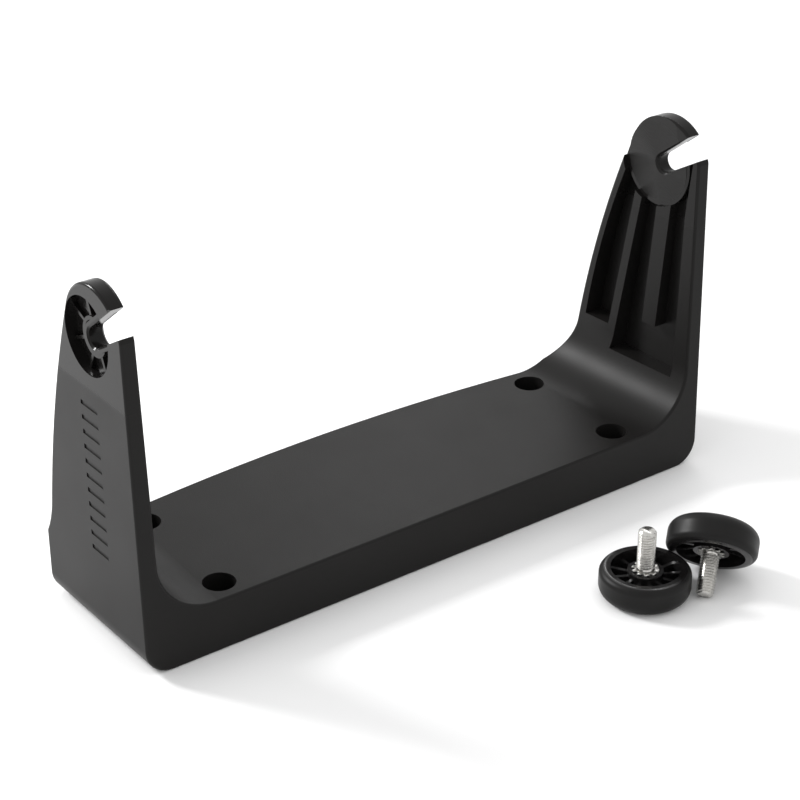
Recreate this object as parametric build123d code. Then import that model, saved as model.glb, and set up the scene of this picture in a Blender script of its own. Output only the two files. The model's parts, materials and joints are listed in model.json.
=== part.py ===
from build123d import *
from math import asin, atan2, cos, hypot, radians, sin, sqrt
import os

# Gimbal mounting bracket for a chartplotter display, with its two clamp knobs.
# The bracket is a moulded U: a ribbed tray base that is screwed down, and two arms
# whose heads have a slot, open to the front, for the stud of a clamp knob.
# Frame: origin on the mounting face, at the centre of the four screw holes.
# +X runs along the bracket, +Y to its rear edge, +Z up. Millimetres.

# ---- base ----
base_width = 302.0            # across the outer faces of the two arms, at the foot
base_height = 24.0
hole_spacing_x = 216.0
hole_spacing_y = 60.0
front_margin = 12.8           # front hole row to the front edge
rear_margin_middle = 19.2     # rear hole row to the rear edge, halfway along
rear_margin_end = 6.4         # the same at the ends: the rear edge is an arc
foot_corner_radius = 12.0     # underside corners, where base and arm meet outside
screw_hole_diameter = 6.0
screw_well_diameter = 14.4    # the well above the screw head
screw_seat_thickness = 5.0
well_wall = 3.0
top_plate = 4.0
skirt_wall = 3.6              # outer wall of the base
base_rib = 2.4
cell_rows = 2                 # cells between the ribs underneath, front to rear
cell_columns = 8
foot_relief_height = 1.0      # shallow reliefs along the lower edge of each side
foot_relief_length = 17.0
foot_relief_count = 3

# ---- arms ----
pivot_height = 144.7
pivot_setback = 25.4          # front edge of the base to the pivot axis
head_radius = 22.2
arm_lean = 0.6                # each outer face leans out by this much at the pivot
arm_front_thickness = 7.4     # at the pivot height, measured on the front edge
rear_inset_head = 3.6         # how much thicker the arm would be along its rear edge,
rear_inset_foot = 6.4         # at the head and at the foot
inner_rise = 0.02             # the inner face leans out by this much per mm of height
inner_level = 100.0           # arm_front_thickness holds at this height
arm_foot_fillet = 27.0        # base top to inner face
rear_edge_middle = 66.4       # arm's rear edge behind the base's front edge, at this height:
rear_middle_height = 87.6
rear_edge_foot = 73.8         # and where it begins to flare out to the base
rear_flare_height = 26.0      # height of the flare
rear_flare_reach = 13.0       # and how far back it goes
rear_tangent = radians(19.8)  # where the rear edge leaves the head's round, from level
front_tangent = radians(14.0) # where the front edge meets it
edge_radius = 1.2             # outside edges of the moulding
arm_skin = 3.4                # outer wall left behind the pockets
shoulder_drop = 12.6          # from the head's rear tangent point to the pockets' top
pocket_front_step = 1.6       # front of the pockets behind the front wall, beside the hub
trough_front_step = 2.0       # and at the foot
pocket_head_step = 3.8        # and above the pivot
pocket_head_rise = 6.0        # how far above the pivot the pockets' corner is
shoulder_set_back = 0.34      # the shoulder's slope: back per mm down
foot_bow = 0.92               # the pockets' rear edge bows in from the rear edge's chord
flat_above_shoulder = 2.0     # the heads' flat starts this far above the pockets' top
pocket_floor_height = 55.0
trough_floor_height = 43.0    # pockets in front of the first rib reach lower
rib_foot_height = 64.0        # the front rib stops above the trough
rear_wall = 4.0
front_wall = 8.2
front_wall_head = 3.4         # the front wall is thinner beside the hub
rib_widths = (4.6, 8.4)       # rear rib, front rib
rib_heads = (39.4, 23.2)      # rib centre behind the front edge, at the hub
rib_feet = (50.6, 28.0)       # and at the pocket floor

# ---- heads ----
hub_offset_y = 4.2            # the hub sits behind the pivot
hub_offset_z = -0.3
hub_radius = 20.7
recess_radius = 16.7          # round recess in the outer face
recess_back = 1.0             # its centre behind the hub's
recess_drop = 1.0             # and below it
recess_floor = 2.6            # wall left under the recess
collar_radius = 8.6
collar_wall = 1.7
collar_forward = 1.2          # its centre in front of the hub's
collar_setdown = 2.2          # collar face below the outer face
rib_setdown = 1.0             # radial ribs below the collar face
recess_rib = 1.5
recess_rib_count = 8
crown_rise = 0.5              # the hub's inner face is a very flat cone
crown_margin = 1.8            # flat rim left round the cone
crown_point = 0.4             # radius of its blunt point
slot_clearance = 0.35         # each side of the stud
slot_upper_angle = 38.5       # both edges rise forwards, from level
slot_lower_angle = 31.0
slot_wall = 2.2               # wall that stands round the slot in the recess
slot_wall_setdown = 0.2       # its edge below the outer face
slot_lead_in = 1.0            # chamfer along the slot's edges, on both faces

# ---- plain grooves down the outer faces ----
groove_count = 11
groove_lowest = 44.5
groove_top_margin = 16.2      # highest groove below the recess
groove_setback = 33.0         # front edge to the middle of the column
groove_length = 13.0
groove_height = 2.0
groove_depth = 0.45

# ---- clamp knobs ----
stud_diameter = 8.0
stud_length = 19.8            # stud standing clear of the core
stud_embedded = 7.5           # stud held in the core
stud_chamfer = 0.9
flange_step = 1.0             # anti-turn flange inside the core, radially over the shank
flange_thickness = 3.0
knob_diameter = 40.0
knob_height = 13.6
crown_fillet = 5.6
rim_fillet = 3.2
grip_wall = 3.0               # of the grip, under the core
grip_side_wall = 2.0          # of the grip, round the core
core_wall = 3.0               # round the open bowl in the core
core_floor = 2.0
core_recess = 1.2             # core's hub face below the knob's rim
core_hub_wall = 3.3           # round the shank
core_rib = 1.6
core_rib_count = 12
core_rib_setdown = 2.4        # rib tops below the hub face
shank_step = 0.5              # stud's shank inside the core, radially over the thread
relief_depth = 0.7            # thread relief, where the washer sits
relief_length = 1.5
washer_band = 1.4             # solid ring of the washer
washer_thickness = 1.0
washer_teeth = 10
washer_tooth_depth = 1.3
washer_tooth_share = 0.55     # half of a tooth's width at its root, of the tooth pitch's half
washer_clearance = 0.2        # radial, on the thread relief
washer_gap = 0.05             # above the core's hub face

# ---- where the two loose knobs lie, in plan from the front edge's middle ----
upright_knob_x = 52.6         # lies on its crown, stud up
upright_knob_y = -72.9
knob_gap = 0.033              # left between the two knobs
tip_bearing = -48.3           # the way from the upright knob's axis to the leaning one's tip
leaning_knob_heading = -141.5  # the way its stud points, in plan

# ---- worked out from the values above ----
front_y = -hole_spacing_y / 2 - front_margin
rear_y_middle = hole_spacing_y / 2 + rear_margin_middle
rear_y_end = hole_spacing_y / 2 + rear_margin_end
half_foot = base_width / 2
half_head = half_foot + arm_lean
half_inner = half_head - arm_front_thickness
pivot_y = front_y + pivot_setback
hub_y = pivot_y + hub_offset_y
hub_z = pivot_height + hub_offset_z
hub_low = hub_z - hub_radius
core_face = knob_height - core_recess
core_diameter = knob_diameter - 2 * grip_side_wall
core_bowl_diameter = core_diameter - 2 * core_wall
shank_diameter = stud_diameter + 2 * shank_step
relief_diameter = stud_diameter - 2 * relief_depth
flange_diameter = shank_diameter + 2 * flange_step
core_hub_diameter = shank_diameter + 2 * core_hub_wall
washer_bore = relief_diameter + 2 * washer_clearance
washer_diameter = washer_bore + 2 * (washer_band + washer_tooth_depth)
head_top = pivot_height + head_radius
slot_radius = stud_diameter / 2 + slot_clearance
pocket_x = half_foot - arm_skin + 1.0
lean_per_mm = arm_lean / pivot_height
groove_highest = hub_z - recess_radius - groove_top_margin
groove_pitch = (groove_highest - groove_lowest) / (groove_count - 1)


def outer_half(z):
    """Half width over the outer faces at height z."""
    return half_foot + lean_per_mm * z


def yz_prism(face, x_from, x_to):
    """A face drawn in the YZ plane, made solid between two X positions."""
    return Pos(x_from, 0, 0) * extrude(face, amount=x_to - x_from, dir=(1, 0, 0))


def both_arms(solid):
    """A solid on the +X arm and its mirror image on the other."""
    return [solid, mirror(solid, about=Plane.YZ)]


# ---- bracket outline ----
def inner_face(side):
    """The plane of one arm's inner face, its normal pointing into the arm."""
    rear_lean = (rear_inset_head + rear_inset_foot) / (2 * rear_edge_foot)
    normal = Vector(side, rear_lean, -inner_rise)
    return Plane(origin=(side * half_inner, front_y, inner_level), z_dir=normal)


def outer_face(side):
    """The plane of one arm's outer face, its normal pointing outwards."""
    return Plane(origin=(side * half_foot, 0, 0), z_dir=Vector(side, 0, -lean_per_mm))


def rear_edge_points():
    """Three points of the arc that the arm's rear edge follows: head, middle, foot."""
    head = (pivot_y + head_radius * cos(rear_tangent), pivot_height + head_radius * sin(rear_tangent))
    middle = (front_y + rear_edge_middle, rear_middle_height)
    foot = (front_y + rear_edge_foot, base_height + rear_flare_height)
    return head, middle, foot


def side_outline():
    """Arm and base seen from the side."""
    flare_end = (front_y + rear_edge_foot + rear_flare_reach, base_height)
    rear_limit = max(rear_y_middle, flare_end[0]) + 3.0
    front_head = (pivot_y - head_radius * cos(front_tangent),
                  pivot_height + head_radius * sin(front_tangent))
    rear_head, rear_middle, rear_foot = rear_edge_points()
    with BuildSketch(Plane.YZ) as outline:
        with BuildLine():
            Line((front_y, 0), front_head)
            ThreePointArc(front_head, (pivot_y, head_top), rear_head)
            rear_edge = ThreePointArc(rear_head, rear_middle, rear_foot)
            TangentArc(rear_foot, flare_end, tangent=rear_edge % 1)
            Line(flare_end, (rear_limit, base_height))
            Line((rear_limit, base_height), (rear_limit, 0))
            Line((rear_limit, 0), (front_y, 0))
        make_face()
    return outline.sketch.face()


def plan_outline():
    """The bracket seen from above: straight front edge, bowed rear edge."""
    reach = half_head + 4.0
    with BuildSketch() as outline:
        with BuildLine():
            Line((-reach, front_y), (reach, front_y))
            Line((reach, front_y), (reach, rear_y_end))
            ThreePointArc((reach, rear_y_end), (0, rear_y_middle), (-reach, rear_y_end))
            Line((-reach, rear_y_end), (-reach, front_y))
        make_face()
    return outline.sketch.face()


def bracket_blank():
    """The solid U, before it is hollowed: a rounded block less the display's space."""
    tall = head_top + 10
    deep = 2 * base_width
    outside = Pos(0, 0, tall / 2) * Box(2 * base_width, deep, tall)
    space = Pos(0, 0, base_height + tall / 2) * Box(2 * base_width, deep, tall)
    for side in (1, -1):
        outside = split(outside, bisect_by=outer_face(side), keep=Keep.BOTTOM)
        space = split(space, bisect_by=inner_face(side), keep=Keep.BOTTOM)
    outside = fillet(long_low_edges(outside, deep), foot_corner_radius)
    space = fillet(long_low_edges(space, deep), arm_foot_fillet)
    blank = outside - space
    blank &= yz_prism(side_outline(), -half_head - 8, half_head + 8)
    blank &= extrude(plan_outline(), amount=tall)
    return fillet(outline_edges(blank), edge_radius)


def long_low_edges(solid, length):
    """The lowest edges of a block that run front to rear."""
    runs = [edge for edge in solid.edges() if edge.bounding_box().size.Y > 0.9 * length]
    return ShapeList(runs).group_by(Axis.Z)[0]


def outline_edges(blank):
    """Edges round the front face and the rear faces, but not along the mounting face."""
    chosen = []
    for edge in blank.edges():
        box = edge.bounding_box()
        spans_depth = box.size.Y > 0.8 * (rear_y_end - front_y)
        on_foot = box.max.Z < 0.01
        is_level = box.size.Z < 0.01
        crosses_arm = box.size.X > 0.5 * arm_front_thickness and box.min.Z > base_height + 1
        if not (spans_depth or on_foot or (crosses_arm and is_level)):
            chosen.append(edge)
    return chosen


# ---- base ----
def hole_places():
    return [(x, y) for x in (-hole_spacing_x / 2, hole_spacing_x / 2)
            for y in (-hole_spacing_y / 2, hole_spacing_y / 2)]


def base_hollow():
    """The hollow under the base, as cells with ribs left between them."""
    inner_x = half_foot - skirt_wall
    inner_front = front_y + skirt_wall
    inner_rear = rear_y_end - skirt_wall
    ceiling = base_height - top_plate
    with BuildSketch() as tray:
        with BuildLine():
            Line((-inner_x, inner_front), (inner_x, inner_front))
            Line((inner_x, inner_front), (inner_x, inner_rear))
            ThreePointArc((inner_x, inner_rear), (0, rear_y_middle - skirt_wall), (-inner_x, inner_rear))
            Line((-inner_x, inner_rear), (-inner_x, inner_front))
        make_face()
    hollow = extrude(tray.sketch.face(), amount=ceiling + 1)
    hollow = Pos(0, 0, -1) * hollow
    room_x = 2 * inner_x
    room_y = rear_y_middle - skirt_wall - inner_front
    for column in range(1, cell_columns):
        x = -inner_x + room_x * column / cell_columns
        hollow -= Pos(x, 0, ceiling / 2) * Box(base_rib, 2 * room_y, ceiling + 4)
    for row in range(1, cell_rows):
        y = inner_front + room_y * row / cell_rows
        hollow -= Pos(0, y, ceiling / 2) * Box(room_x + 4, base_rib, ceiling + 4)
    for x, y in hole_places():
        hollow -= Pos(x, y, ceiling / 2) * Cylinder(screw_well_diameter / 2 + well_wall, ceiling + 4)
    corner_keep = foot_corner_radius
    for side in (1, -1):
        wedge = Pos(side * half_foot, 0, 0) * Rot(0, 45, 0) * Box(
            corner_keep * sqrt(2), 3 * room_y, corner_keep * sqrt(2))
        hollow -= wedge
    return hollow


def screw_wells():
    """A screw hole through the seat and the wide well above it, four times."""
    wells = []
    for x, y in hole_places():
        wells.append(Pos(x, y, base_height / 2) * Cylinder(screw_hole_diameter / 2, base_height + 4))
        depth = base_height - screw_seat_thickness + 4
        wells.append(Pos(x, y, screw_seat_thickness + depth / 2) * Cylinder(screw_well_diameter / 2, depth))
    return wells


def side_reliefs():
    """Shallow reliefs along the foot of each side wall."""
    reliefs = []
    pitch = (rear_y_end - front_y) / foot_relief_count
    for place in range(foot_relief_count):
        y = front_y + pitch * (place + 0.5)
        cut = Pos(half_foot - foot_corner_radius, y, 0) * Box(
            2 * foot_corner_radius, foot_relief_length, 2 * foot_relief_height)
        reliefs += both_arms(cut)
    return reliefs


# ---- arms ----
def pocket_outline():
    """The hollow of an arm seen from the side, without its ribs."""
    rear_head, rear_middle, rear_foot = rear_edge_points()
    shoulder = (rear_head[0] - rear_wall + shoulder_drop * shoulder_set_back, rear_head[1] - shoulder_drop)
    middle = (rear_middle[0] - rear_wall, rear_middle[1])
    foot_lean = (rear_foot[0] - rear_middle[0]) / (rear_middle[1] - rear_foot[1])
    foot_y = middle[0] + foot_lean * (rear_middle[1] - pocket_floor_height) * foot_bow
    foot = (foot_y, pocket_floor_height)
    front_foot = (front_y + front_wall + trough_front_step, trough_floor_height)
    front_hub = (front_y + front_wall + pocket_front_step, hub_low)
    front_head = (front_y + front_wall_head + pocket_head_step, pivot_height + pocket_head_rise)
    rib_y = front_y + rib_feet[0]
    with BuildSketch(Plane.YZ) as outline:
        with BuildLine():
            ThreePointArc(shoulder, middle, foot)
            Line(foot, (rib_y, pocket_floor_height))
            Line((rib_y, pocket_floor_height), (rib_y, trough_floor_height))
            Line((rib_y, trough_floor_height), front_foot)
            Line(front_foot, front_hub)
            Line(front_hub, front_head)
            Line(front_head, shoulder)
        make_face()
    return outline.sketch.face()


def rib_outline(head_y, foot_y, width, foot_z):
    """A rib between the pockets, seen from the side, from the hub down to foot_z."""
    top = pivot_height
    lean = (foot_y - head_y) / (hub_low - pocket_floor_height)
    low_y = head_y + lean * (hub_low - foot_z)
    high_y = head_y - lean * (top - hub_low)
    half = width / 2
    points = [(front_y + high_y - half, top), (front_y + high_y + half, top),
              (front_y + low_y + half, foot_z), (front_y + low_y - half, foot_z)]
    with BuildSketch(Plane.YZ) as outline:
        with BuildLine():
            Polyline(*points, close=True)
        make_face()
    return outline.sketch.face()


def arm_pocket():
    """The ribbed hollow of the +X arm, open to the inside."""
    reach = arm_foot_fillet + rear_inset_foot
    start = pocket_x - reach
    pocket = yz_prism(pocket_outline(), start, pocket_x)
    feet = (trough_floor_height - 1, rib_foot_height)
    for head_y, foot_y, width, foot_z in zip(rib_heads, rib_feet, rib_widths, feet):
        pocket -= yz_prism(rib_outline(head_y, foot_y, width, foot_z), start - 1, pocket_x + 1)
    pocket -= Pos(0, hub_y, hub_z) * Rot(0, 90, 0) * Cylinder(hub_radius, 4 * half_head)
    return pocket


def head_flat():
    """What is cut off the inner side, so that the hub is flat and a shoulder is left below."""
    shoulder_z = pivot_height + head_radius * sin(rear_tangent) - shoulder_drop + flat_above_shoulder
    block = 3 * head_radius
    above = Pos(half_inner - block / 2, pivot_y, shoulder_z + block / 2) * Box(block, block, block)
    disc = Pos(half_inner - block / 2, hub_y, hub_z) * Rot(0, 90, 0) * Cylinder(hub_radius, block)
    return above + disc


def hub_crown():
    """The very flat cone that stands on the hub's inner face."""
    cone = Cone(hub_radius - crown_margin, crown_point, crown_rise)
    return Pos(half_inner - crown_rise / 2, hub_y, hub_z) * Rot(0, -90, 0) * cone


def head_recess():
    """The round recess in the outer face, with its collar and radial ribs left standing."""
    floor_x = half_inner + recess_floor
    outside = half_head + 4
    deep = outside - floor_x
    middle_y = hub_y + recess_back
    middle_z = hub_z - recess_drop
    recess = Pos(floor_x + deep / 2, middle_y, middle_z) * Rot(0, 90, 0) * Cylinder(recess_radius, deep)
    collar_y = hub_y - collar_forward
    collar_deep = half_head - collar_setdown - floor_x
    collar = Cylinder(collar_radius, collar_deep) - Cylinder(collar_radius - collar_wall, collar_deep + 1)
    rib_deep = collar_deep - rib_setdown
    rib_long = recess_radius + recess_back + collar_forward
    standing = [Pos(floor_x + collar_deep / 2, collar_y, middle_z) * Rot(0, 90, 0) * collar]
    for index in range(recess_rib_count):
        rib = Pos(0, collar_radius - collar_wall / 2 + rib_long / 2, 0) * Box(recess_rib, rib_long, rib_deep)
        rib = Rot(0, 0, 360 * (index + 0.5) / recess_rib_count) * rib
        standing.append(Pos(floor_x + rib_deep / 2, collar_y, middle_z) * Rot(0, 90, 0) * rib)
    standing.append(yz_prism(slot_outline(slot_radius + slot_wall), floor_x, half_head - slot_wall_setdown))
    return recess - standing


def slot_outline(radius):
    """The slot from the side: round at the pivot, with straight edges that open forwards."""
    upper = radians(slot_upper_angle)
    lower = radians(slot_lower_angle)
    reach = 2 * head_radius
    upper_tangent = (pivot_y + radius * sin(upper), pivot_height + radius * cos(upper))
    lower_tangent = (pivot_y - radius * sin(lower), pivot_height - radius * cos(lower))
    upper_end = (upper_tangent[0] - reach * cos(upper), upper_tangent[1] + reach * sin(upper))
    lower_end = (lower_tangent[0] - reach * cos(lower), lower_tangent[1] + reach * sin(lower))
    with BuildSketch(Plane.YZ) as outline:
        with BuildLine():
            ThreePointArc(upper_tangent, (pivot_y + radius, pivot_height), lower_tangent)
            Line(lower_tangent, lower_end)
            Line(lower_end, upper_end)
            Line(upper_end, upper_tangent)
        make_face()
    return outline.sketch.face()


def stud_slot():
    """The slot through the head, for the knob's stud, with a lead-in on both faces."""
    slot = yz_prism(slot_outline(slot_radius), half_inner - head_radius, half_head + head_radius)
    wide = slot_outline(slot_radius + slot_lead_in)
    outer = extrude(Pos(half_head, 0, 0) * wide, amount=slot_lead_in, dir=(-1, 0, 0), taper=45)
    inner = extrude(Pos(half_inner - crown_rise, 0, 0) * wide, amount=slot_lead_in, dir=(1, 0, 0), taper=45)
    return slot + outer + inner


def side_grooves():
    """A plain column of level grooves down each arm's outer face."""
    cuts = []
    for index in range(groove_count):
        z = groove_lowest + groove_pitch * index
        face = outer_half(z)
        cut = Pos(face, front_y + groove_setback, z) * Box(2 * groove_depth, groove_length, groove_height)
        cuts += both_arms(cut)
    return cuts


def make_bracket():
    bracket = bracket_blank()
    bracket -= base_hollow()
    bracket -= both_arms(arm_pocket())
    bracket -= both_arms(head_flat())
    bracket += both_arms(hub_crown())
    bracket -= both_arms(head_recess())
    bracket -= both_arms(stud_slot())
    bracket -= screw_wells()
    bracket -= side_reliefs()
    bracket -= side_grooves()
    return bracket


# ---- clamp knobs, each drawn crown down with its stud up the Z axis ----
def column(diameter, low, high):
    """A cylinder on the Z axis between two heights."""
    return Pos(0, 0, low) * Cylinder(diameter / 2, high - low, align=(Align.CENTER, Align.CENTER, Align.MIN))


def knob_blank():
    """The knob's whole outside form: a disc with a rounded crown and rim."""
    disc = column(knob_diameter, 0, knob_height)
    disc = fillet(disc.edges().group_by(Axis.Z)[0], crown_fillet)
    return fillet(disc.edges().group_by(Axis.Z)[-1], rim_fillet)


def make_grip():
    """The soft cup that is moulded round the core."""
    return knob_blank() - column(core_diameter, grip_wall, knob_height + 1)


def stud_shape():
    """The stud: chamfered thread, relief for the washer, shank and anti-turn flange."""
    foot = core_face - stud_embedded
    thread_start = core_face + relief_length
    thread = column(stud_diameter, thread_start, core_face + stud_length)
    thread = chamfer(thread.edges().group_by(Axis.Z)[-1], stud_chamfer)
    flange = Pos(0, 0, foot) * extrude(RegularPolygon(flange_diameter / 2, 6), amount=flange_thickness)
    relief = column(relief_diameter, core_face, thread_start)
    shank = column(shank_diameter, foot, core_face)
    return thread + relief + shank + flange


def make_core():
    """The stiff core inside the grip: a bowl with a hub for the stud and radial ribs."""
    floor = grip_wall + core_floor
    core = knob_blank() & column(core_diameter, grip_wall, knob_height)
    core -= column(core_bowl_diameter, floor, knob_height + 1)
    core += column(core_hub_diameter, floor - 1, core_face)
    rib_top = core_face - core_rib_setdown
    rib_long = core_bowl_diameter / 2 + 1
    for index in range(core_rib_count):
        rib = Pos(rib_long / 2, 0, (floor - 1 + rib_top) / 2) * Box(rib_long, core_rib, rib_top - floor + 1)
        core += Rot(0, 0, 360 * index / core_rib_count) * rib
    return core - stud_shape()


def make_washer():
    """The toothed lock washer, captive on the stud's relief and free to turn."""
    outer = washer_diameter / 2
    root = outer - washer_tooth_depth
    half = radians(180 / washer_teeth) * washer_tooth_share
    inside = root * cos(half) - washer_tooth_depth / 3
    ring = column(2 * root, 0, washer_thickness)
    with BuildSketch() as tooth:
        with BuildLine():
            Polyline((inside, -root * sin(half)), (outer, 0), (inside, root * sin(half)), close=True)
        make_face()
    for index in range(washer_teeth):
        ring += Rot(0, 0, 360 * index / washer_teeth) * extrude(tooth.sketch, amount=washer_thickness)
    ring -= column(washer_bore, -1, washer_thickness + 1)
    return Pos(0, 0, core_face + washer_gap) * ring


def upright_place():
    """Crown down on the ground, stud up."""
    return Plane(origin=(upright_knob_x, front_y + upright_knob_y, 0), z_dir=(0, 0, 1)).location


def leaning_place(tip_distance):
    """On the ground with its rim and the edge of its stud's tip both touching."""
    tip = core_face + stud_length
    along = tip - stud_chamfer - (knob_height - rim_fillet)
    across = knob_diameter / 2 - rim_fillet - stud_diameter / 2
    tilt = atan2(across, along) + asin(rim_fillet / hypot(along, across))
    heading = radians(leaning_knob_heading)
    bearing = radians(tip_bearing)
    crown_height = (tip - stud_chamfer) * sin(tilt) + stud_diameter / 2 * cos(tilt)
    origin = (upright_knob_x + tip_distance * cos(bearing) - tip * cos(tilt) * cos(heading),
              front_y + upright_knob_y + tip_distance * sin(bearing) - tip * cos(tilt) * sin(heading),
              crown_height)
    stud_way = (cos(tilt) * cos(heading), cos(tilt) * sin(heading), -sin(tilt))
    return Plane(origin=origin, x_dir=(-sin(heading), cos(heading), 0), z_dir=stud_way).location


def slid_up_place():
    """The leaning knob slid along the ground to the upright one, until knob_gap is left.

    A slide as long as the spare gap can't close it, so the knobs never run into each other.
    """
    outside = knob_blank() + stud_shape()
    upright = upright_place() * outside
    tip_distance = 2 * knob_diameter
    spare = knob_diameter
    while spare > knob_gap / 10:
        spare = (leaning_place(tip_distance) * outside).distance_to(upright) - knob_gap
        tip_distance -= spare
    return leaning_place(tip_distance)


def main():
    os.makedirs("parts", exist_ok=True)
    export_step(make_bracket(), "parts/bracket.step")
    pieces = {"grip": make_grip(), "core": make_core(), "stud": stud_shape(), "tooth_washer": make_washer()}
    for number, place in ((1, upright_place()), (2, slid_up_place())):
        for name, piece in pieces.items():
            export_step(place * piece, f"parts/knob_{number}_{name}.step")


main()
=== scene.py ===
"""Finishes, stud threads, toothed washers, ground and light for a display's mounting bracket.

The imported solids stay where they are. This file gives them their moulded and metal finishes,
stands real threads and twisted-tooth washers in for the plain solids of the fasteners,
and sets the ground, the lamps and the camera.
"""
import json
import math

import bpy
import numpy as np
from bpy.props import FloatProperty, FloatVectorProperty, IntProperty, PointerProperty
from bpy.types import Operator, Panel, PropertyGroup
from mathutils import Matrix, Vector


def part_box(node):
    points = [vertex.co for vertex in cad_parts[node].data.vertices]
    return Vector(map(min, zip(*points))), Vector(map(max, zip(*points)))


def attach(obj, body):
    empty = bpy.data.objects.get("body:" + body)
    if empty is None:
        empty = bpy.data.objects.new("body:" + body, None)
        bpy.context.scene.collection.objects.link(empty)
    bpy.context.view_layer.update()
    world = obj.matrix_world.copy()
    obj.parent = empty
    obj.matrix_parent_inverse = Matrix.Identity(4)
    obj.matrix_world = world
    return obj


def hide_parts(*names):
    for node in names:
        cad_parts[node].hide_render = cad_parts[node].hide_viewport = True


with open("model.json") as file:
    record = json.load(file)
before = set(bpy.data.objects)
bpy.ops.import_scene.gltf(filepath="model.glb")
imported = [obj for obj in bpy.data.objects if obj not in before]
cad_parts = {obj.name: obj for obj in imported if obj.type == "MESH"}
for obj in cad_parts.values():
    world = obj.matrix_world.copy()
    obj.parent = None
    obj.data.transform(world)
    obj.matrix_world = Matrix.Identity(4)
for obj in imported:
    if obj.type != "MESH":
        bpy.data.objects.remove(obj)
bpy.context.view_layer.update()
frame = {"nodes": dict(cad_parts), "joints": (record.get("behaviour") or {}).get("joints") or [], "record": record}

bl_info = {
    "name": "Display Bracket Finisher",
    "version": (1, 0, 0),
    "blender": (4, 5, 0),
    "location": "View3D > Sidebar > Bracket",
    "description": "Finishes and fastener details for a display's mounting bracket and its clamp knobs",
    "category": "Object",
}

MM = 0.001
KNOBS = (1, 2)


# ---- places and sizes that come from the frame ----
def knob_joint(number):
    """The hinge on which one knob turns about its stud."""
    return next(joint for joint in frame["joints"] if joint["name"] == f"knob_{number}_turn")


def stud_frame(number):
    """Matrix whose Z is a knob's stud axis and whose origin is the middle of its core's hub face."""
    joint = knob_joint(number)
    turn = Vector(joint["axis"]).to_track_quat("Z", "Y").to_matrix().to_4x4()
    return Matrix.Translation(Vector(joint["pos_m"])) @ turn


def mount_named(name):
    return next(mount for mount in frame["record"]["mounts"] if mount["name"] == name)


PIVOT = Vector(mount_named("right_slot")["pos_m"])
HUB = PIVOT + Vector((0, 4.2, -0.3)) * MM    # the hub sits a little behind the pivot
HUB_FACE = knob_joint(1)["pos_m"][2]
STUD_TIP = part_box("knob_1_stud")[1].z - HUB_FACE
STUD_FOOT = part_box("knob_1_stud")[0].z - HUB_FACE
STUD_END = mount_named("knob_1_stud_end")
STUD_RADIUS = STUD_END["dims"]["r_mm"] * MM
THREAD_LOW = STUD_END["pos_m"][2] - STUD_END["dims"]["length_mm"] * MM / 2 - HUB_FACE
WASHER_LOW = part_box("knob_1_tooth_washer")[0].z - HUB_FACE
WASHER_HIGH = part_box("knob_1_tooth_washer")[1].z - HUB_FACE
WASHER_RADIUS = (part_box("knob_1_tooth_washer")[1].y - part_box("knob_1_tooth_washer")[0].y) / 2


# ---- what a user may change ----
class BracketFinish(PropertyGroup):
    colour: FloatVectorProperty(
        name="Moulding colour", description="Colour of the black satin moulding",
        subtype="COLOR", size=3, min=0, max=1, default=(0.0082, 0.0077, 0.0074))
    roughness: FloatProperty(
        name="Satin roughness", description="Roughness of the arms and the base",
        subtype="FACTOR", min=0, max=1, default=0.40)
    head_roughness: FloatProperty(
        name="Head roughness", description="Roughness of the polished heads",
        subtype="FACTOR", min=0, max=1, default=0.17)
    grain: FloatProperty(
        name="Grain size", description="Size of the moulded grain",
        unit="LENGTH", min=0.0001, max=0.005, default=0.00045)
    ring_pitch: FloatProperty(
        name="Ring pitch", description="Pitch of the fine turned rings on the hubs' inner faces",
        unit="LENGTH", min=0.0001, max=0.005, default=0.0006)
    ring_reach: FloatProperty(
        name="Ring reach", description="How far from the hub's middle the rings go",
        unit="LENGTH", min=0, max=0.05, default=0.0189)
    ring_roughness: FloatProperty(
        name="Ring roughness", description="Roughness of the ringed faces",
        subtype="FACTOR", min=0, max=1, default=0.28)
    ring_depth: FloatProperty(
        name="Ring depth", description="Depth of those rings",
        unit="LENGTH", min=0, max=0.001, default=0.00003)


class FastenerSizes(PropertyGroup):
    thread_pitch: FloatProperty(
        name="Thread pitch", description="Rise of the stud's thread in one turn",
        unit="LENGTH", min=0.0003, max=0.003, default=0.00125)
    thread_depth: FloatProperty(
        name="Thread depth", description="Crest to root of the thread, on the radius",
        unit="LENGTH", min=0.0001, max=0.002, default=0.00072)
    tip_chamfer: FloatProperty(
        name="Tip chamfer", description="Chamfer on the stud's free end",
        unit="LENGTH", min=0, max=0.003, default=0.0009)
    relief_depth: FloatProperty(
        name="Relief depth", description="Thread relief that the washer turns on, on the radius",
        unit="LENGTH", min=0, max=0.003, default=0.0007)
    shank_step: FloatProperty(
        name="Shank step", description="How far the shank in the core stands out over the thread",
        unit="LENGTH", min=0, max=0.003, default=0.0005)
    tooth_count: IntProperty(
        name="Washer teeth", description="Teeth round the lock washer", min=4, max=24, default=10)
    tooth_twist: FloatProperty(
        name="Tooth twist", description="How far each tooth is turned out of the washer's plane",
        subtype="ANGLE", min=0, max=1, default=math.radians(24))
    steel_colour: FloatVectorProperty(
        name="Steel colour", description="Colour of the stainless stud and washer",
        subtype="COLOR", size=3, min=0, max=1, default=(0.58, 0.57, 0.545))


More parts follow.
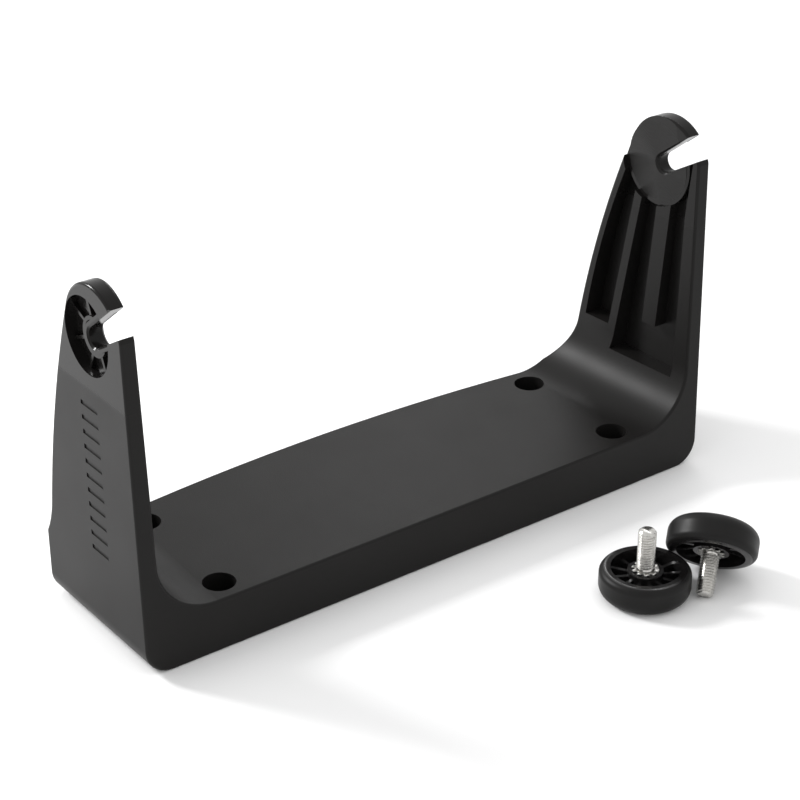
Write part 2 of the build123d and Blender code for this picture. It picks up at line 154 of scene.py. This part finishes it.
class KnobFinish(PropertyGroup):
    grip_colour: FloatVectorProperty(
        name="Grip colour", description="Colour of the soft overmould",
        subtype="COLOR", size=3, min=0, max=1, default=(0.0075, 0.0072, 0.0070))
    core_colour: FloatVectorProperty(
        name="Core colour", description="Colour of the stiff ribbed core",
        subtype="COLOR", size=3, min=0, max=1, default=(0.008, 0.0075, 0.0075))
    grip_roughness: FloatProperty(
        name="Grip roughness", description="Roughness of the soft overmould",
        subtype="FACTOR", min=0, max=1, default=0.42)


class StageSettings(PropertyGroup):
    floor_colour: FloatVectorProperty(
        name="Floor colour", description="Colour of the plain floor",
        subtype="COLOR", size=3, min=0, max=1, default=(0.90, 0.90, 0.90))
    azimuth: FloatProperty(
        name="Camera heading", description="The way the camera looks, in plan, from +Y towards +X",
        subtype="ANGLE", default=math.radians(36.54))
    elevation: FloatProperty(
        name="Camera elevation", description="How far the camera looks down",
        subtype="ANGLE", default=math.radians(27.99))
    roll: FloatProperty(
        name="Camera roll", description="Turn of the camera about its own line of sight",
        subtype="ANGLE", default=math.radians(-0.16))
    distance: FloatProperty(
        name="Camera distance", description="From the camera to the point that it looks at",
        unit="LENGTH", min=0.1, default=0.9916)
    lens: FloatProperty(
        name="Lens", description="Focal length of the camera, in millimetres",
        min=10, max=500, default=100.53)
    fill: FloatProperty(
        name="Sky light", description="Strength of the even light from all round",
        min=0, max=5, default=1.0)


# ---- meshes worked out on grids ----
def ring_mesh(name, points, first_pole=None, last_pole=None, loop_rows=False):
    """A mesh from a grid of points, rows by columns by 3, whose columns close into rings.

    Row i joins row i + 1 with quads, column j joins column j + 1, and the last column joins
    the first. A pole closes the first or last ring with a fan. With loop_rows the last row
    joins the first too, as in a torus.
    """
    rows, columns = points.shape[:2]
    row = np.arange(rows if loop_rows else rows - 1)[:, None]
    column = np.arange(columns)[None, :]
    after_row = (row + 1) % rows
    after_column = (column + 1) % columns
    corners = [row * columns + column, row * columns + after_column,
               after_row * columns + after_column, after_row * columns + column]
    quads = np.stack(np.broadcast_arrays(*corners), axis=-1).reshape(-1, 4)
    vertices = points.reshape(-1, 3)
    faces = quads.tolist()
    ring = np.arange(columns)
    if first_pole is not None:
        pole = np.full(columns, len(vertices))
        faces += np.stack([pole, (ring + 1) % columns, ring], axis=-1).tolist()
        vertices = np.vstack([vertices, first_pole])
    if last_pole is not None:
        start = (rows - 1) * columns
        pole = np.full(columns, len(vertices))
        faces += np.stack([pole, start + ring, start + (ring + 1) % columns], axis=-1).tolist()
        vertices = np.vstack([vertices, last_pole])
    mesh = bpy.data.meshes.new(name)
    mesh.from_pydata(vertices.tolist(), [], faces)
    mesh.shade_smooth()
    mesh.update()
    return mesh


def piece_from(mesh, matrix, body, material, nodes):
    """Puts a mesh in its place, as an object that rides on a body and stands for nodes."""
    mesh.transform(matrix)
    piece = bpy.data.objects.new(mesh.name, mesh)
    bpy.context.scene.collection.objects.link(piece)
    mesh.materials.append(material)
    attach(piece, body)
    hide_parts(*nodes)
    return piece


ROWS_PER_PITCH = 16
STUD_COLUMNS = 72
CREST_SHARE = 0.125        # of the pitch, for the thread's crest
ROOT_SHARE = 0.75          # where the flanks end, from the crest's middle to the root's
WASHER_PLAY = 0.2 * MM     # the washer's room round the stud's relief
COLUMNS_PER_TOOTH = 24
BAND_SHARE = 0.42          # of the washer's width, for the ring inside the teeth
TOOTH_FOOT = 0.36          # half of a tooth's width at its foot, in tooth pitches
TOOTH_SLOPE = 0.10         # width of a tooth's sloped side, in tooth pitches
SHEET_SHARE = 0.30         # half of the sheet's thickness, of the washer's height


def round_grid(radius, turns, heights):
    """Points at (radius cos turn, radius sin turn, height), one for each row and column."""
    grid = np.broadcast_arrays(radius * np.cos(turns), radius * np.sin(turns), heights)
    return np.stack(grid, axis=-1)


def thread_points(sizes):
    """Grid of a threaded stud, foot to tip, about Z.

    The radius at height z and turn t is the root radius plus the thread's depth times a
    trapezoid wave of (z / pitch - t / one turn): a crest an eighth of the pitch wide, a root
    a quarter wide, straight flanks between. Near the tip the chamfer's cone is the limit.
    Below the thread come the relief that the washer turns on and the shank in the core.
    """
    step = sizes.thread_pitch / ROWS_PER_PITCH
    edge = 0.01 * MM
    thread = np.arange(THREAD_LOW + edge, STUD_TIP, step)
    low = [STUD_FOOT, -edge, 0, THREAD_LOW]
    heights = np.concatenate([low, thread, [STUD_TIP]])[:, None]
    turns = np.linspace(0, 2 * np.pi, STUD_COLUMNS, endpoint=False)[None, :]
    phase = (heights / sizes.thread_pitch - turns / (2 * np.pi)) % 1
    away = np.abs(phase - 0.5) * 2
    flank = np.clip((ROOT_SHARE - away) / (ROOT_SHARE - CREST_SHARE), 0, 1)
    radius = STUD_RADIUS - sizes.thread_depth * (1 - flank)
    cone = STUD_RADIUS - sizes.tip_chamfer + (STUD_TIP - heights)
    radius = np.minimum(radius, cone)
    radius = np.where(heights < THREAD_LOW + edge / 2, STUD_RADIUS - sizes.relief_depth, radius)
    radius = np.where(heights < -edge / 2, STUD_RADIUS + sizes.shank_step, radius)
    return round_grid(radius, turns, heights)


def washer_points(sizes):
    """Grid of a lock washer with twisted teeth: a closed loop of section, round the stud.

    Along the section the surface runs out over the top face, down the rim and back in
    underneath. The rim radius is the root radius plus the tooth's height where the turn
    falls in a tooth, with sloped sides. Beyond the root a point is lifted by its distance
    from the tooth's own middle line times the twist.
    """
    columns = sizes.tooth_count * COLUMNS_PER_TOOTH
    turns = np.linspace(0, 2 * np.pi, columns, endpoint=False)[None, :]
    bore = STUD_RADIUS - sizes.relief_depth + WASHER_PLAY
    root = bore + BAND_SHARE * (WASHER_RADIUS - bore)
    share = (turns * sizes.tooth_count / (2 * np.pi)) % 1 - 0.5
    tooth = np.clip((TOOTH_FOOT - np.abs(share)) / TOOTH_SLOPE, 0, 1)
    rim = root + (WASHER_RADIUS - root) * tooth
    thick = SHEET_SHARE * (WASHER_HIGH - WASHER_LOW)
    middle = (WASHER_HIGH + WASHER_LOW) / 2
    outward = np.array([0, 0.35, 0.7, 0.93, 1, 1, 0.93, 0.7, 0.35, 0])[:, None]
    side = np.array([1, 1, 1, 1, 0.6, -0.6, -1, -1, -1, -1])[:, None]
    radius = bore + (rim - bore) * outward
    reach = np.clip((radius - root) / (WASHER_RADIUS - root), 0, 1)
    across = share * (2 * np.pi / sizes.tooth_count) * radius
    limit = (WASHER_HIGH - WASHER_LOW) / 2 - thick
    lift = np.clip(np.tan(sizes.tooth_twist) * across * reach * 2, -limit, limit)
    heights = middle + side * thick + lift
    return round_grid(radius, turns, heights)


# ---- materials ----
def new_material(name, colour, roughness, metallic=0.0, specular=0.5):
    """A material with its shader, and the object coordinates that its patterns read."""
    material = bpy.data.materials.new(name)
    material.use_nodes = True
    tree = material.node_tree
    shader = tree.nodes["Principled BSDF"]
    shader.inputs["Base Color"].default_value = (*colour, 1)
    shader.inputs["Roughness"].default_value = roughness
    shader.inputs["Metallic"].default_value = metallic
    shader.inputs["Specular IOR Level"].default_value = specular
    place = tree.nodes.new("ShaderNodeTexCoord").outputs["Object"]
    return material, tree, shader, place


def noise(tree, place, size, detail=3.0):
    """Noise whose features are about size across, in metres."""
    node = tree.nodes.new("ShaderNodeTexNoise")
    node.inputs["Scale"].default_value = 1 / size
    node.inputs["Detail"].default_value = detail
    tree.links.new(place, node.inputs["Vector"])
    return node.outputs["Fac"]


def math_node(tree, operation, first, second=None, clamp=False):
    """A Math node on two values, either of which may be a number or a socket."""
    node = tree.nodes.new("ShaderNodeMath")
    node.operation = operation
    node.use_clamp = clamp
    for socket, value in zip(node.inputs, (first, second)):
        if value is None:
            continue
        if isinstance(value, (int, float)):
            socket.default_value = value
        else:
            tree.links.new(value, socket)
    return node.outputs[0]


def spread(tree, value, low, high):
    """Carries a noise value, from 0.3 to 0.7, over to the range from low to high."""
    node = tree.nodes.new("ShaderNodeMapRange")
    node.inputs["From Min"].default_value = 0.3
    node.inputs["From Max"].default_value = 0.7
    node.inputs["To Min"].default_value = low
    node.inputs["To Max"].default_value = high
    tree.links.new(value, node.inputs["Value"])
    return node.outputs["Result"]


def step_up(tree, value, start, end):
    """0 below start, 1 above end, with a smooth rise between."""
    node = tree.nodes.new("ShaderNodeMapRange")
    node.interpolation_type = "SMOOTHSTEP"
    node.inputs["From Min"].default_value = start
    node.inputs["From Max"].default_value = end
    tree.links.new(value, node.inputs["Value"])
    return node.outputs["Result"]


def between(tree, share, low, high):
    """low where share is 0, high where it is 1."""
    node = tree.nodes.new("ShaderNodeMix")
    node.data_type = "FLOAT"
    for socket, value in ((node.inputs[0], share), (node.inputs[2], low), (node.inputs[3], high)):
        if isinstance(value, (int, float)):
            socket.default_value = value
        else:
            tree.links.new(value, socket)
    return node.outputs[0]


def tinted(tree, share, dark, light):
    """A colour that runs from dark to light with share."""
    node = tree.nodes.new("ShaderNodeMix")
    node.data_type = "RGBA"
    node.inputs[6].default_value = (*dark, 1)
    node.inputs[7].default_value = (*light, 1)
    tree.links.new(share, node.inputs[0])
    return node.outputs[2]


def bump(tree, shader, height, distance, under=None):
    """A bump of that height in metres, laid over another one if there is one."""
    node = tree.nodes.new("ShaderNodeBump")
    node.inputs["Distance"].default_value = distance
    tree.links.new(height, node.inputs["Height"])
    if under is not None:
        tree.links.new(under, node.inputs["Normal"])
    tree.links.new(node.outputs["Normal"], shader.inputs["Normal"])
    return node.outputs["Normal"]


def scaled(colour, factor):
    return tuple(min(1.0, channel * factor) for channel in colour)


HEAD_DEPTH = 26 * MM       # the polished heads reach this far below the pivot
HEAD_BLEND = 3 * MM
INNER_MARGIN = 0.5 * MM


def bracket_material(finish):
    """Black satin moulding, polished on the heads, with turned rings on the hubs' inner faces."""
    material, tree, shader, place = new_material(
        "bracket_moulding", finish.colour, finish.roughness, specular=0.14)
    parts = tree.nodes.new("ShaderNodeSeparateXYZ")
    tree.links.new(place, parts.inputs["Vector"])
    head_low = PIVOT.z - HEAD_DEPTH
    head = step_up(tree, parts.outputs["Z"], head_low, head_low + HEAD_BLEND)
    flow = noise(tree, place, 24 * MM, 4)
    satin = spread(tree, flow, finish.roughness - 0.02, finish.roughness + 0.02)
    polished = spread(tree, flow, finish.head_roughness - 0.03, finish.head_roughness + 0.04)
    cloud = spread(tree, noise(tree, place, 60 * MM, 2), 0, 1)
    tree.links.new(tinted(tree, cloud, scaled(finish.colour, 0.9), scaled(finish.colour, 1.12)),
                   shader.inputs["Base Color"])
    across = math_node(tree, "SUBTRACT", parts.outputs["Y"], HUB.y)
    above = math_node(tree, "SUBTRACT", parts.outputs["Z"], HUB.z)
    across_squared = math_node(tree, "MULTIPLY", across, across)
    above_squared = math_node(tree, "MULTIPLY", above, above)
    distance = math_node(tree, "SQRT", math_node(tree, "ADD", across_squared, above_squared))
    phase = math_node(tree, "MULTIPLY", distance, 2 * math.pi / finish.ring_pitch)
    wave = math_node(tree, "SINE", phase)
    sideways = math_node(tree, "ABSOLUTE", parts.outputs["X"])
    inner = math_node(tree, "LESS_THAN", sideways, abs(PIVOT.x) + INNER_MARGIN)
    turned = math_node(tree, "MULTIPLY", inner, math_node(tree, "LESS_THAN", distance, finish.ring_reach))
    ring_height = math_node(tree, "MULTIPLY", wave, turned)
    rings = bump(tree, shader, ring_height, finish.ring_depth)
    head_gloss = between(tree, turned, polished, finish.ring_roughness)
    tree.links.new(between(tree, head, satin, head_gloss), shader.inputs["Roughness"])
    grain = noise(tree, place, finish.grain, 2)
    grain_height = math_node(tree, "MULTIPLY", grain, between(tree, head, 1.0, 0.12))
    bump(tree, shader, grain_height, 0.05 * MM, rings)
    return material


def grip_material(finish):
    """Soft satin overmould with a fine stipple and faint handling marks."""
    material, tree, shader, place = new_material(
        "knob_grip", finish.grip_colour, finish.grip_roughness, specular=0.16)
    flow = noise(tree, place, 9 * MM, 4)
    tree.links.new(spread(tree, flow, finish.grip_roughness - 0.06, finish.grip_roughness + 0.07),
                   shader.inputs["Roughness"])
    cloud = spread(tree, noise(tree, place, 14 * MM, 2), 0, 1)
    tree.links.new(tinted(tree, cloud, scaled(finish.grip_colour, 0.85), scaled(finish.grip_colour, 1.2)),
                   shader.inputs["Base Color"])
    bump(tree, shader, noise(tree, place, 0.35 * MM, 2), 0.03 * MM)
    return material


def core_material(finish):
    """Gloss black moulding with slow ripples, as on a sink-marked plastic part."""
    material, tree, shader, place = new_material("knob_core", finish.core_colour, 0.2)
    flow = noise(tree, place, 5 * MM, 3)
    tree.links.new(spread(tree, flow, 0.14, 0.26), shader.inputs["Roughness"])
    cloud = spread(tree, noise(tree, place, 8 * MM, 2), 0, 1)
    tree.links.new(tinted(tree, cloud, scaled(finish.core_colour, 0.8), scaled(finish.core_colour, 1.3)),
                   shader.inputs["Base Color"])
    bump(tree, shader, noise(tree, place, 2.5 * MM, 2), 0.04 * MM)
    return material


def steel_material(name, colour, roughness, grain):
    """Stainless steel with fine drawing marks and small changes of tone."""
    material, tree, shader, place = new_material(name, colour, roughness, 1.0)
    marks = noise(tree, place, grain, 3)
    tree.links.new(spread(tree, marks, roughness - 0.06, roughness + 0.10), shader.inputs["Roughness"])
    cloud = spread(tree, noise(tree, place, 3 * MM, 2), 0, 1)
    tree.links.new(tinted(tree, cloud, scaled(colour, 0.88), scaled(colour, 1.08)),
                   shader.inputs["Base Color"])
    bump(tree, shader, marks, 0.012 * MM)
    return material


def dress(node, material):
    """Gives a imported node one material."""
    slots = frame["nodes"][node].data.materials
    slots.clear()
    slots.append(material)


# ---- one operator for each piece or group of like pieces ----
class FinishBracket(Operator):
    """Gives the bracket its moulded finish"""
    bl_idname = "bracket_kit.finish_bracket"
    bl_label = "Finish the bracket"

    def execute(self, context):
        dress("bracket", bracket_material(context.scene.bracket_finish))
        return {"FINISHED"}


class FinishKnobs(Operator):
    """Gives the knobs' grips and cores their finishes"""
    bl_idname = "bracket_kit.finish_knobs"
    bl_label = "Finish the knobs"

    def execute(self, context):
        finish = context.scene.knob_finish
        grip = grip_material(finish)
        core = core_material(finish)
        for number in KNOBS:
            dress(f"knob_{number}_grip", grip)
            dress(f"knob_{number}_core", core)
        return {"FINISHED"}


class BuildStuds(Operator):
    """Builds the threaded studs"""
    bl_idname = "bracket_kit.build_studs"
    bl_label = "Build the threaded studs"

    def execute(self, context):
        sizes = context.scene.fastener_sizes
        steel = steel_material("stud_steel", sizes.steel_colour, 0.22, 0.5 * MM)
        for number in KNOBS:
            points = thread_points(sizes)
            poles = (0, 0, points[0, 0, 2]), (0, 0, STUD_TIP)
            mesh = ring_mesh(f"knob_{number}_stud_thread", points, *poles)
            node = f"knob_{number}_stud"
            piece_from(mesh, stud_frame(number), f"knob_{number}", steel, [node])
        return {"FINISHED"}


class BuildWashers(Operator):
    """Builds the lock washers with their twisted teeth"""
    bl_idname = "bracket_kit.build_washers"
    bl_label = "Build the toothed washers"

    def execute(self, context):
        sizes = context.scene.fastener_sizes
        steel = steel_material("washer_steel", sizes.steel_colour, 0.28, 0.3 * MM)
        for number in KNOBS:
            mesh = ring_mesh(f"knob_{number}_washer_teeth", washer_points(sizes)[::-1], loop_rows=True)
            node = f"knob_{number}_tooth_washer"
            piece_from(mesh, stud_frame(number), f"washer_{number}", steel, [node])
        return {"FINISHED"}


def softbox(name, toward, away, width, height, power):
    """A soft area lamp that shines on the stage's centre from one way, its width along X."""
    lamp = bpy.data.lights.new(name, "AREA")
    lamp.shape = "RECTANGLE"
    lamp.size = width
    lamp.size_y = height
    lamp.energy = power
    way = Vector(toward).normalized()
    rise = way.cross((1, 0, 0)).normalized()
    turn = Matrix((rise.cross(way), rise, way)).transposed().to_4x4()
    holder = bpy.data.objects.new(name, lamp)
    holder.matrix_world = Matrix.Translation(STAGE_CENTRE + way * away) @ turn
    holder.visible_camera = False
    bpy.context.scene.collection.objects.link(holder)


FLOOR_HALF = 4.0
SENSOR_WIDTH = 36
STAGE_CENTRE = Vector((7.5, -0.5, 60)) * MM    # what the lamps and the camera point at


def floor_mesh(half):
    """A flat square of quads at the height of the mounting face."""
    cells = 8
    across = cells + 1
    steps = np.linspace(-half, half, across)
    x, y = np.meshgrid(steps, steps)
    points = np.stack([x, y, np.zeros_like(x)], axis=-1)
    row, column = np.meshgrid(np.arange(cells), np.arange(cells), indexing="ij")
    start = row * across + column
    faces = np.stack([start, start + 1, start + across + 1, start + across], axis=-1).reshape(-1, 4)
    mesh = bpy.data.meshes.new("floor")
    mesh.from_pydata(points.reshape(-1, 3).tolist(), [], faces.tolist())
    return mesh


def place_camera(settings):
    """The camera, on a sphere about the point that it looks at."""
    heading, height = settings.azimuth, settings.elevation
    level = math.cos(height)
    back = Vector((-math.sin(heading) * level, -math.cos(heading) * level, math.sin(height)))
    camera = bpy.data.cameras.new("camera")
    camera.lens = settings.lens
    camera.sensor_width = SENSOR_WIDTH
    turn = back.to_track_quat("Z", "Y").to_matrix().to_4x4() @ Matrix.Rotation(settings.roll, 4, "Z")
    holder = bpy.data.objects.new("camera", camera)
    holder.matrix_world = Matrix.Translation(STAGE_CENTRE + back * settings.distance) @ turn
    bpy.context.scene.collection.objects.link(holder)
    bpy.context.scene.camera = holder


class SetStage(Operator):
    """Sets the floor, the lamps, the even light and the camera"""
    bl_idname = "bracket_kit.set_stage"
    bl_label = "Set the stage"

    def execute(self, context):
        settings = context.scene.stage_settings
        floor = bpy.data.objects.new("floor", floor_mesh(FLOOR_HALF))
        context.scene.collection.objects.link(floor)
        material, tree, shader, place = new_material("floor_paper", settings.floor_colour, 0.75)
        weave = noise(tree, place, 50 * MM, 3)
        tree.links.new(spread(tree, weave, 0.70, 0.80), shader.inputs["Roughness"])
        floor.data.materials.append(material)
        softbox("rear_left_softbox", toward=(-0.47, 0.71, 0.50), away=1.3,
                width=0.30, height=0.30, power=16)
        softbox("strip_softbox", toward=(0.525, 0.45, 0.72), away=1.1,
                width=0.06, height=1.0, power=1.3)
        world = bpy.data.worlds.new("studio")
        world.use_nodes = True
        sky = world.node_tree.nodes["Background"]
        sky.inputs["Color"].default_value = (1, 1, 1, 1)
        sky.inputs["Strength"].default_value = settings.fill
        context.scene.world = world
        context.scene.view_settings.view_transform = "Standard"
        place_camera(settings)
        return {"FINISHED"}


class BracketPanel(Panel):
    bl_idname = "VIEW3D_PT_bracket_kit"
    bl_label = "Display bracket"
    bl_space_type = "VIEW_3D"
    bl_region_type = "UI"
    bl_category = "Bracket"

    def draw(self, context):
        scene = context.scene
        for group in (scene.bracket_finish, scene.knob_finish, scene.fastener_sizes, scene.stage_settings):
            box = self.layout.box()
            for name in group.__annotations__:
                box.prop(group, name)
        for operator in STEPS:
            self.layout.operator(operator.bl_idname)


GROUPS = {"bracket_finish": BracketFinish, "knob_finish": KnobFinish,
          "fastener_sizes": FastenerSizes, "stage_settings": StageSettings}
STEPS = (FinishBracket, FinishKnobs, BuildStuds, BuildWashers, SetStage)
CLASSES = (*GROUPS.values(), *STEPS, BracketPanel)


def register():
    for kind in CLASSES:
        bpy.utils.register_class(kind)
    for name, group in GROUPS.items():
        setattr(bpy.types.Scene, name, PointerProperty(type=group))


def unregister():
    for name in GROUPS:
        delattr(bpy.types.Scene, name)
    for kind in reversed(CLASSES):
        bpy.utils.unregister_class(kind)


def main():
    register()
    bpy.ops.bracket_kit.finish_bracket()
    bpy.ops.bracket_kit.finish_knobs()
    bpy.ops.bracket_kit.build_studs()
    bpy.ops.bracket_kit.build_washers()
    bpy.ops.bracket_kit.set_stage()


if __name__ == "__main__":
    main()
